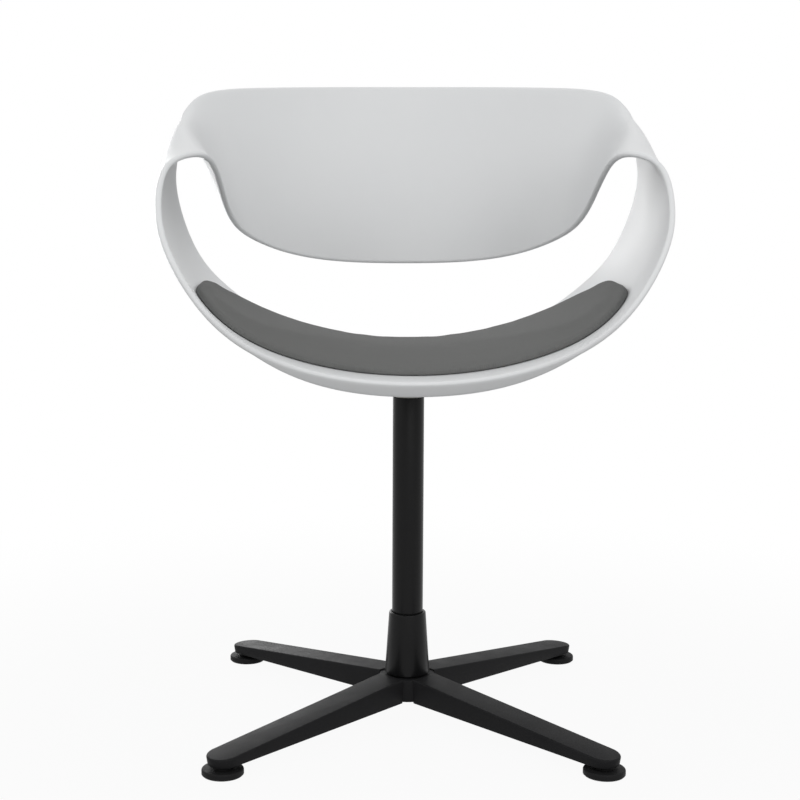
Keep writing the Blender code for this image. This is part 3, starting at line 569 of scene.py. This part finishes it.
def padRows():
    # from the top middle over the rolled edge to the bottom middle: way, share, inset, lift
    first, waist, slim = math.radians(pad["rollStart"]), pad["waist"], pad["slim"]

    def dome(share):
        rise = (1 - share ** pad["domePower"]) ** pad["domeSoft"]
        return pad["edge"] + (pad["crown"] - pad["edge"]) * rise - slim

    rows = [(share, 0.0, dome(share)) for share in np.linspace(0, pad["domeEnd"], 12)]
    brow = dome(pad["browShare"])
    for a in np.linspace(first, math.pi / 2, 9):
        inset = pad["roll"] * (1 - math.sin(a)) / (1 - math.sin(first))
        rows.append((1.0, inset + slim, waist + (brow - waist) * math.cos(a) / math.cos(first)))
    for a in np.linspace(0, math.pi / 2, 5)[1:]:  # drawn in under the waist
        inset = slim + pad["foot"] * (1 - math.cos(a))
        rows.append((1.0, inset, waist + (pad["gap"] - waist) * math.sin(a)))
    rows += [(share, 0.0, pad["gap"]) for share in np.linspace(pad["bottomStart"], 0, 10)]
    return np.array([(k / (len(rows) - 1), *row) for k, row in enumerate(rows)])


def seatCoords(points):
    # how far round, how far across and how high over the seat each point lies
    t = points[:, 0].copy()
    v = np.full(len(points), 0.5)
    for _ in range(30):
        spot, along, across, _normal = band(t, v)
        off = points - spot
        aa, bb, ab = (along ** 2).sum(1), (across ** 2).sum(1), (along * across).sum(1)
        pa, pb = (off * along).sum(1), (off * across).sum(1)
        det = aa * bb - ab * ab
        t = t + np.clip((pa * bb - pb * ab) / det, -0.03, 0.03)
        v = v + np.clip((pb * aa - pa * ab) / det, -0.1, 0.1)
    spot, _along, _across, normal = band(t, v)
    return t, v, ((points - spot) * normal).sum(1) - shell["wall"] / 2, normal


def readPoints(mesh):
    flat = np.empty(len(mesh.vertices) * 3)
    mesh.vertices.foreach_get("co", flat)
    return flat.reshape(-1, 3)


def padForm():
    rows = padRows()
    bm = bmesh.new()
    bmesh.ops.create_cube(bm, size=2.0)
    bmesh.ops.subdivide_edges(bm, edges=bm.edges, cuts=pad["cuts"], use_grid_fill=True)
    verts = list(bm.verts)
    ball = np.array([v.co.normalized()[:] for v in verts])
    way = np.arccos(np.clip(ball[:, 2], -1, 1)) / math.pi
    angle = np.arctan2(ball[:, 1], ball[:, 0])
    spots = padSpots(angle, *[np.interp(way, rows[:, 0], rows[:, k]) for k in (1, 2, 3)])
    for vert, spot in zip(verts, spots):  # the ball is drawn out into the pad's form
        vert.co = spot
    return addObject("seatPad", asMesh("seatPad", bm))


def padSwell(form):
    # cloth pressure on an even copy of the form, then carried over to its points
    even = addObject("evenPad", form.data.copy())
    remesh = even.modifiers.new("even", "REMESH")
    remesh.mode = "VOXEL"
    remesh.voxel_size = pad["voxel"]
    bake(even)
    start = readPoints(even.data)
    lift = seatCoords(start)[2]
    hold = even.vertex_groups.new(name="hold")
    grip = np.clip((pad["holdHigh"] - lift) / (pad["holdHigh"] - pad["holdLow"]), 0, 1)
    for k, weight in enumerate(grip):  # the foot of the roll stays on the shell
        hold.add([k], float(weight), "REPLACE")
    cloth = even.modifiers.new("swell", "CLOTH")
    cloth.settings.quality = pad["quality"]
    cloth.settings.mass = pad["mass"]
    cloth.settings.tension_stiffness = pad["stretch"]
    cloth.settings.compression_stiffness = pad["stretch"]
    cloth.settings.bending_stiffness = pad["bend"]
    cloth.settings.use_pressure = True
    cloth.settings.uniform_pressure_force = pad["pressure"]
    cloth.settings.vertex_group_mass = "hold"
    cloth.settings.effector_weights.gravity = 0
    cloth.point_cache.frame_start = 1
    cloth.point_cache.frame_end = pad["frames"]
    for number in range(1, pad["frames"] + 1):
        scene.frame_set(number)
    bake(even)
    scene.frame_set(1)
    step = readPoints(even.data) - start
    bpy.data.objects.remove(even, do_unlink=True)
    size = np.linalg.norm(step, axis=1, keepdims=True)
    step *= np.minimum(1.0, pad["cap"] / np.maximum(size, 1e-9))
    swell = float(np.linalg.norm(step, axis=1).mean()) * 1000
    print("pad swells by", round(swell, 2), "mm on average")
    tree = kdtree.KDTree(len(start))
    for k, spot in enumerate(start):
        tree.insert(spot, k)
    tree.balance()
    moved = readPoints(form.data)
    for k, spot in enumerate(moved.copy()):
        near = tree.find_n(spot, pad["near"])
        weights = np.array([1 / (away + pad["voxel"]) for _spot, _number, away in near])
        moved[k] += weights @ step[[number for _spot, number, _away in near]] / weights.sum()
    return moved


def makePad():
    obj = padForm()
    moved = padSwell(obj)
    t, v, lift, normal = seatCoords(moved)
    moved += normal * np.maximum(0.0, pad["gap"] - lift)[:, None]  # rests on the shell
    obj.data.vertices.foreach_set("co", moved.ravel())
    across = (v - padMiddle()[0]) * np.linalg.norm(band(0.0, 0.5)[2])
    uv = obj.data.uv_layers.new(name="weave")
    for loop in obj.data.loops:
        k = loop.vertex_index
        uv.data[loop.index].uv = (t[k], across[k])
    obj.data.shade_smooth()
    finer = obj.modifiers.new("finer", "SUBSURF")
    finer.levels = finer.render_levels = 1
    place(obj, "seat", "grey_cloth", padCloth, "seat_pad_cover", "seat_pad_foam")
    return obj


makePad()
print("seat pad made")


# swivel head under the seat

head = dict(plate=0.150, thick=0.005, corner=0.018, top=0.4365, holes=0.055, holeWidth=0.0033,
            spigot=0.010, spigotTop=0.4362, spigotPlay=0.0003, collar=0.020, collarTop=0.4312,
            collarHigh=0.0115, shaft=0.0125, shaftEnd=0.2297, grooveLow=0.2363, grooveHigh=0.2377,
            grooveDeep=0.0012, holeRun=0.02, screwGap=0.0003, screwTip=0.0007,
            socket=0.46, socketDeep=1.3)
plateScrew = dict(width=0.006, headWidth=0.0105, headHigh=0.0033, grip=0.013)
padScrew = dict(width=0.005, headWidth=0.010, headHigh=0.003, grip=0.0104)


def panScrew(width, headWidth, headHigh, grip):
    # low domed head below, thread end up, height 0 under the head
    r, h, tip = width / 2, headWidth / 2, head["screwTip"]
    profile = [(0, -headHigh)]
    for k in range(7):
        a = math.radians(15 * k)
        profile.append((h * (0.62 + 0.38 * math.sin(a)), -headHigh * (0.25 + 0.75 * math.cos(a))))
    profile += [(h, 0), (r, 0), (r, grip - tip), (r - tip, grip), (0, grip)]
    obj = addObject("screw", asMesh("screw", lathe(profile, 36)))
    bm = bmesh.new()  # hexagon socket
    bmesh.ops.create_cone(bm, cap_ends=True, segments=6, radius1=h * head["socket"],
                          radius2=h * head["socket"], depth=headHigh * head["socketDeep"])
    bmesh.ops.translate(bm, vec=(0, 0, -headHigh), verts=bm.verts)
    cut(obj, addObject("socket", asMesh("socket", bm)))
    bm = bmesh.new()
    bm.from_mesh(obj.data)
    bpy.data.objects.remove(obj, do_unlink=True)
    return bm


def makePlate():
    bm = bmesh.new()
    bmesh.ops.create_cube(bm, size=1.0)
    bmesh.ops.scale(bm, vec=(head["plate"], head["plate"], head["thick"]), verts=bm.verts)
    upright = [e for e in bm.edges if abs(e.verts[0].co.z - e.verts[1].co.z) > 0.001]
    bevelEdges(bm, upright, head["corner"], 10)
    roundEdges(bm, 0.0005, 60, 2)
    bmesh.ops.translate(bm, vec=(0, 0, head["top"] - head["thick"] / 2), verts=bm.verts)
    obj = addObject("swivelPlate", asMesh("swivelPlate", bm))
    low, high = head["top"] - head["holeRun"], head["top"] + head["holeRun"]
    holes = [rod(head["spigot"] + head["spigotPlay"], low, high, 40)]
    for sx in (-1, 1):
        for sy in (-1, 1):
            spot = (sx * head["holes"], sy * head["holes"], 0)
            holes.append(rod(head["holeWidth"], low, high, 40, at=spot))
    cut(obj, gather("holes", holes))
    smoothTo(obj, 30)
    place(obj, "seat", "black_coat", coatBlack, "swivel_plate")


def makeSpindle():
    top, base = head["collarTop"], head["collarTop"] - head["collarHigh"]
    r, low = head["shaft"], head["shaftEnd"]
    neck, collar = r - head["grooveDeep"], head["collar"]
    spigot, tip = head["spigot"], head["spigotTop"]
    grooveLow, grooveHigh = head["grooveLow"], head["grooveHigh"]
    profile = [(0, low), (r, low), (r, grooveLow), (neck, grooveLow), (neck, grooveHigh), (r, grooveHigh),
               (r, base), (collar, base), (collar, top), (spigot, top), (spigot, tip), (0, tip)]
    obj = addObject("swivelSpindle", asMesh("swivelSpindle", lathe(profile, 80, 0.0005)))
    smoothTo(obj, 40)
    place(obj, "seat", "black_coat", coatBlack, "swivel_spindle")


def makeScrews():
    corners = [(sx, sy) for sy in (-1, 1) for sx in (-1, 1)]
    for number, (sx, sy) in enumerate(corners, 1):
        bm = panScrew(**plateScrew)
        spot = (sx * head["holes"], sy * head["holes"], head["top"] - head["thick"] - head["screwGap"])
        bmesh.ops.translate(bm, vec=spot, verts=bm.verts)
        obj = addObject(f"plateScrew{number}", asMesh("plateScrew", bm))
        smoothTo(obj, 35)
        place(obj, "seat", "black_steel", screwBlack, f"plate_screw_{number}")
        bm = panScrew(**padScrew)
        spot, _along, _across, normal = underPoint(sx * shell["screwX"], sy * shell["screwY"])
        aim(bm, spot - normal * (shell["wall"] / 2 + head["screwGap"]), normal)
        obj = addObject(f"padScrew{number}", asMesh("padScrew", bm))
        smoothTo(obj, 35)
        place(obj, "seat", "bright_steel", zincSteel, f"pad_screw_{number}")


makePlate()
makeSpindle()
makeScrews()
print("swivel head made")


# column and its conical socket

column = dict(radius=0.020, bore=0.0175, top=0.4171, base=0.0578, bushRadius=0.0172, bushBore=0.0126,
              bushLow=0.3871, flangeLow=0.4174, flangeHigh=0.4194, coneLow=0.0525, coneBore=0.0203,
              coneBase=0.029, coneTop=0.0238, coneHigh=0.1353, step=0.0022, stepHigh=0.0016, edge=0.0012)


def makeColumn():
    c = column
    bore, radius = c["bore"], c["radius"]
    low, high = c["base"], c["top"]
    tube = lathe([(bore, low), (radius, low), (radius, high), (bore, high)], 96, 0.0005, True)
    obj = addObject("columnTube", asMesh("columnTube", tube))
    smoothTo(obj, 40)
    place(obj, "base", "black_coat", tubeBlack, "column_tube")
    low, flange, high = c["bushLow"], c["flangeLow"], c["flangeHigh"]
    inner, outer = c["bushBore"], c["bushRadius"]
    bush = lathe([(inner, low), (outer, low), (outer, flange), (radius, flange), (radius, high),
                  (inner, high)], 80, 0.0003, True)
    obj = addObject("topBush", asMesh("topBush", bush))
    smoothTo(obj, 40)
    place(obj, "base", "pale_polymer", bushPolymer, "top_bush")
    low, high, inner = c["coneLow"], c["coneHigh"], c["coneBase"] - c["step"]
    cone = lathe([(c["coneBore"], low), (inner, low), (inner, low + c["stepHigh"]),
                  (c["coneBase"], low + 1.5 * c["stepHigh"]), (c["coneTop"], high - c["edge"]),
                  (c["coneTop"] - c["edge"], high), (c["coneBore"], high)], 96, 0.0004, True)
    obj = addObject("columnCone", asMesh("columnCone", cone))
    smoothTo(obj, 40)
    place(obj, "base", "black_coat", tubeBlack, "column_cone")


makeColumn()
print("column made")


# star base: four tapered legs cast on a hub, hollow from below

star = dict(footRadius=0.3165, width=0.042, endReach=0.0185, draft=0.0014, edgeRound=0.0022,
            lowRound=0.001, hubRadius=0.0355, hubLow=0.0225, hubLift=0.001, hubTop=0.0522, legTop=0.0569,
            legStart=0.0296, endLow=0.0125, endTop=0.0235, skin=0.0042, pockets=3, pocketFromHub=0.006,
            pocketFromFoot=0.021, pocketRound=0.003, pocketDraft=0.002, pocketTaper=0.975,
            roofRound=0.0015, rib=0.004, endRound=0.999, recessTop=0.0324, recessRadius=0.0145,
            boltBore=0.0053, past=0.004, stemBore=0.0043, stemTop=0.0231, stemRun=0.01)
legEnd = star["footRadius"] + star["endReach"]


def legTop(r):
    return star["legTop"] + (star["endTop"] - star["legTop"]) * r / legEnd


def legLow(r):
    return star["hubLow"] + (star["endLow"] - star["hubLow"]) * r / legEnd


def overMiddle(vert):  # height over the middle of the leg's side
    return vert.co.z - (legTop(vert.co.x) + legLow(vert.co.x)) / 2


def strip(near, far, width):  # upright block along the leg
    bm = bmesh.new()
    bmesh.ops.create_cube(bm, size=1.0)
    bmesh.ops.scale(bm, vec=(far - near, width, 1), verts=bm.verts)
    bmesh.ops.translate(bm, vec=((near + far) / 2, 0, 0), verts=bm.verts)
    return bm


def uprightEdges(bm, least):
    upright = [e for e in bm.edges if abs(e.verts[0].co.z - e.verts[1].co.z) > 0.5]
    return [e for e in upright if e.verts[0].co.x > least]


def makeLeg(angle):
    half = star["width"] / 2
    bm = strip(star["legStart"], legEnd, star["width"])
    bevelEdges(bm, uprightEdges(bm, star["footRadius"]), half * star["endRound"], 16)
    for vert in bm.verts:
        if vert.co.z > 0:
            vert.co.z = legTop(vert.co.x)
            continue
        reach = max(0.0, vert.co.x - star["footRadius"])
        away = math.hypot(reach, vert.co.y)
        vert.co.y *= 1 - star["draft"] / away
        vert.co.x -= reach * star["draft"] / away
        vert.co.z = legLow(vert.co.x)
    upper = [e for e in bm.edges if min(overMiddle(v) for v in e.verts) > 0]
    lower = [e for e in bm.edges if max(overMiddle(v) for v in e.verts) < 0]
    bevelEdges(bm, upper, star["edgeRound"], 5)
    bevelEdges(bm, lower, star["lowRound"], 2)
    bmesh.ops.rotate(bm, cent=(0, 0, 0), matrix=Matrix.Rotation(angle, 3, "Z"), verts=bm.verts)
    return addObject("leg", asMesh("leg", bm))


def makePocket(angle, number):
    first = star["hubRadius"] + star["pocketFromHub"]
    last = star["footRadius"] - star["pocketFromFoot"]
    pitch = (last - first + star["rib"]) / star["pockets"]
    near = first + number * pitch
    width = star["width"] - 2 * (star["draft"] + star["skin"])
    bm = strip(near, near + pitch - star["rib"], width)
    bevelEdges(bm, uprightEdges(bm, -1), star["pocketRound"], 5)
    middle = near + (pitch - star["rib"]) / 2
    for vert in bm.verts:
        if vert.co.z > 0:
            vert.co.y *= 1 - star["pocketDraft"] / width
            vert.co.x = middle + (vert.co.x - middle) * star["pocketTaper"]
            vert.co.z = legTop(vert.co.x) - star["skin"]
        else:
            vert.co.z = legLow(vert.co.x) - star["skin"]
    roof = [e for e in bm.edges if min(v.co.z - legLow(v.co.x) for v in e.verts) > 0]
    bevelEdges(bm, roof, star["roofRound"], 3)
    bmesh.ops.rotate(bm, cent=(0, 0, 0), matrix=Matrix.Rotation(angle, 3, "Z"), verts=bm.verts)
    return bm


def makeStar():
    s = star
    hub = rod(s["hubRadius"], s["hubLow"] + s["hubLift"], s["hubTop"], 96, s["lowRound"])
    obj = addObject("starBase", asMesh("starBase", hub))
    turns = [math.radians(45 + 90 * k) for k in range(4)]
    for angle in turns:
        cut(obj, makeLeg(angle), "UNION")
    hollows = []
    for angle in turns:
        for number in range(s["pockets"]):
            hollows.append(makePocket(angle, number))
        foot = (s["footRadius"] * math.cos(angle), s["footRadius"] * math.sin(angle), 0)
        hollows.append(rod(s["stemBore"], s["endLow"] - s["stemRun"], s["stemTop"], 32, at=foot))
    low, top, bore = s["hubLow"] - s["past"], s["hubTop"] + s["past"], s["boltBore"]
    recess = lathe([(0, low), (s["recessRadius"], low), (s["recessRadius"], s["recessTop"]),
                    (bore, s["recessTop"]), (bore, top), (0, top)], 64)
    hollows.append(recess)
    cut(obj, gather("hollows", hollows))
    smoothTo(obj, 32)
    place(obj, "base", "black_coat", coatBlack, "star_base")


clamp = dict(gap=0.0003, washer=0.013, washerThick=0.0025, head=0.008, headHigh=0.0064, bolt=0.005,
             tip=0.083, socket=0.0046, socketHigh=0.0085, socketLow=0.0004)


def makeClamp():
    top = star["recessTop"] - clamp["gap"]
    low, bore, radius = top - clamp["washerThick"], star["boltBore"], clamp["washer"]
    washer = lathe([(bore, low), (radius, low), (radius, top), (bore, top)], 64, 0.0004, True)
    obj = addObject("clampWasher", asMesh("clampWasher", washer))
    smoothTo(obj, 40)
    place(obj, "base", "bright_steel", zincSteel, "clamp_washer")
    top = low - clamp["gap"]
    low, radius, bar, tip = top - clamp["headHigh"], clamp["head"], clamp["bolt"], clamp["tip"]
    bolt = lathe([(0, low), (radius, low), (radius, top), (bar, top), (bar, tip), (0, tip)], 60, 0.0008)
    obj = addObject("clampBolt", asMesh("clampBolt", bolt))
    bm = bmesh.new()
    bmesh.ops.create_cone(bm, cap_ends=True, segments=6, radius1=clamp["socket"], radius2=clamp["socket"],
                          depth=clamp["socketHigh"])
    bmesh.ops.translate(bm, vec=(0, 0, low - clamp["socketLow"]), verts=bm.verts)
    cut(obj, addObject("socket", asMesh("socket", bm)))
    smoothTo(obj, 40)
    place(obj, "base", "bright_steel", zincSteel, "clamp_bolt")


makeStar()
makeClamp()
print("star base made")


# levelling glides

glide = dict(radius=0.025, high=0.0082, neck=0.012, neckTop=0.0122, taper=0.003, sole=0.0027,
             round=0.0022, soleEdge=0.0015, rise=0.0005, stemBore=0.0043)


def makeGlides():
    g = glide
    radius, high, bend, edge = g["radius"], g["high"], g["round"], g["soleEdge"]
    for name, turn in (("rr", 45), ("lr", 135), ("lf", 225), ("rf", 315)):
        a = math.radians(turn)
        profile = [(0, 0), (radius - edge, 0), (radius, edge), (radius, high - bend)]
        for k in range(1, 6):
            b = math.radians(18 * k)
            profile.append((radius - bend * (1 - math.cos(b)), high - bend * (1 - math.sin(b))))
        profile += [(g["neck"], high + g["rise"]), (g["neck"] - g["taper"], g["neckTop"]),
                    (g["stemBore"], g["neckTop"]), (g["stemBore"], g["sole"]), (0, g["sole"])]
        spot = (star["footRadius"] * math.cos(a), star["footRadius"] * math.sin(a), 0)
        obj = addObject(f"glideFoot_{name}", asMesh("glideFoot", lathe(profile, 80, at=spot)))
        smoothTo(obj, 30)
        place(obj, f"glide_{name}", "black_plastic", plasticBlack, f"glide_foot_{name}")


makeGlides()
print("glides made")


# pieces that keep their solids

keptFinish = {"seat_pad_carrier": boardBlack, "lower_bush": bushPolymer, "retaining_ring": zincSteel,
              "column_plug": zincSteel}
for name in [f"shell_insert_{k}" for k in range(1, 5)]:
    keptFinish[name] = turnedBrass
for name in ("rr", "lr", "lf", "rf"):
    keptFinish[f"glide_stem_{name}"] = zincSteel
for name, finish in keptFinish.items():
    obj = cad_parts[name]
    obj.data.materials.clear()
    obj.data.materials.append(finish)
print("kept solids finished:", len(keptFinish))


# camera, light and floor

studio = dict(eye=(-0.072, -2.001, 0.691), yaw=0.10, pitch=7.93, lens=71.145, shift=0.0632,
              domeTop=0.84, domeSide=0.65, keyPower=12.0, keySpot=(-2.5, -1.2, 1.9), keySize=2.2,
              keyAim=(0, 0, 0.6), fillPower=32.0, fillSpot=(0.9, -3.0, 1.7), fillWide=2.6, fillHigh=1.7,
              rimPower=16.0, rimSpot=(-0.95, 2.3, 0.75), rimAim=(-0.15, 0, 0.05), rimWide=1.5,
              rimHigh=0.9, floorSize=9.0, floorShade=0.06, fadeFrom=0.35, fadeTo=1.3)


def aimLamp(name, spot, target, power, wide, high):
    lamp = bpy.data.lights.new(name, "AREA")
    lamp.energy = power
    lamp.shape = "RECTANGLE"
    lamp.size, lamp.size_y = wide, high
    obj = bpy.data.objects.new(name, lamp)
    obj.location = spot
    obj.rotation_euler = (Vector(target) - Vector(spot)).to_track_quat("-Z", "Y").to_euler()
    obj.visible_camera = False
    scene.collection.objects.link(obj)


def seenRays(tree):  # camera, mirrored and transmitted rays
    path = tree.nodes.new("ShaderNodeLightPath")
    seen = mathNode(tree, "MAXIMUM", path.outputs["Is Camera Ray"], path.outputs["Is Glossy Ray"])
    return mathNode(tree, "MAXIMUM", seen, path.outputs["Is Transmission Ray"])


def makeStudio():
    yaw, pitch = math.radians(studio["yaw"]), math.radians(studio["pitch"])
    level = math.cos(pitch)
    forward = Vector((-math.sin(yaw) * level, math.cos(yaw) * level, -math.sin(pitch)))
    camera = bpy.data.cameras.new("camera")
    camera.sensor_width = 36.0
    camera.lens = studio["lens"]
    camera.shift_x = studio["shift"]
    eye = bpy.data.objects.new("camera", camera)
    eye.location = studio["eye"]
    eye.rotation_euler = forward.to_track_quat("-Z", "Y").to_euler()
    scene.collection.objects.link(eye)
    scene.camera = eye

    world = bpy.data.worlds.new("studio")
    scene.world = world
    world.use_nodes = True
    tree = world.node_tree
    dome = tree.nodes["Background"]
    dome.inputs["Color"].default_value = (1, 1, 1, 1)
    lookUp = tree.nodes.new("ShaderNodeSeparateXYZ")
    tree.links.new(tree.nodes.new("ShaderNodeTexCoord").outputs["Generated"], lookUp.inputs[0])
    bright = rangeOf(tree, lookUp.outputs["Z"], studio["domeSide"], studio["domeTop"])
    tree.links.new(bright, dome.inputs["Strength"])
    white = tree.nodes.new("ShaderNodeBackground")
    white.inputs["Color"].default_value = (1, 1, 1, 1)
    mix = tree.nodes.new("ShaderNodeMixShader")
    tree.links.new(seenRays(tree), mix.inputs[0])
    tree.links.new(dome.outputs[0], mix.inputs[1])
    tree.links.new(white.outputs[0], mix.inputs[2])
    tree.links.new(mix.outputs[0], tree.nodes["World Output"].inputs["Surface"])

    s = studio
    aimLamp("key", s["keySpot"], s["keyAim"], s["keyPower"], s["keySize"], s["keySize"])
    aimLamp("fill", s["fillSpot"], s["keyAim"], s["fillPower"], s["fillWide"], s["fillHigh"])
    aimLamp("rim", s["rimSpot"], s["rimAim"], s["rimPower"], s["rimWide"], s["rimHigh"])

    bm = bmesh.new()
    bmesh.ops.create_grid(bm, x_segments=8, y_segments=8, size=studio["floorSize"])
    floor = addObject("floor", asMesh("floor", bm))
    mat, tree, shader = newMaterial("floorWhite")
    shader.inputs["Base Color"].default_value = (0.35, 0.35, 0.35, 1.0)
    shader.inputs["Roughness"].default_value = 0.9
    shader.inputs["Specular IOR Level"].default_value = 0.1
    glow = tree.nodes.new("ShaderNodeEmission")
    far = tree.nodes.new("ShaderNodeVectorMath")  # the shadow fades out away from the chair
    far.operation = "LENGTH"
    tree.links.new(objectSpot(tree), far.inputs[0])
    fade = tree.nodes.new("ShaderNodeMapRange")
    fade.interpolation_type = "SMOOTHSTEP"
    fade.inputs["From Min"].default_value = studio["fadeFrom"]
    fade.inputs["From Max"].default_value = studio["fadeTo"]
    fade.inputs["To Min"].default_value = 1 - studio["floorShade"]
    fade.inputs["To Max"].default_value = 1.0
    tree.links.new(far.outputs["Value"], fade.inputs["Value"])
    mix = tree.nodes.new("ShaderNodeMixShader")
    tree.links.new(mathNode(tree, "MULTIPLY", seenRays(tree), fade.outputs["Result"]), mix.inputs[0])
    tree.links.new(shader.outputs[0], mix.inputs[1])
    tree.links.new(glow.outputs[0], mix.inputs[2])
    tree.links.new(mix.outputs[0], tree.nodes["Material Output"].inputs["Surface"])
    floor.data.materials.append(mat)
    scene.view_settings.view_transform = "Standard"


makeStudio()
print("studio made")
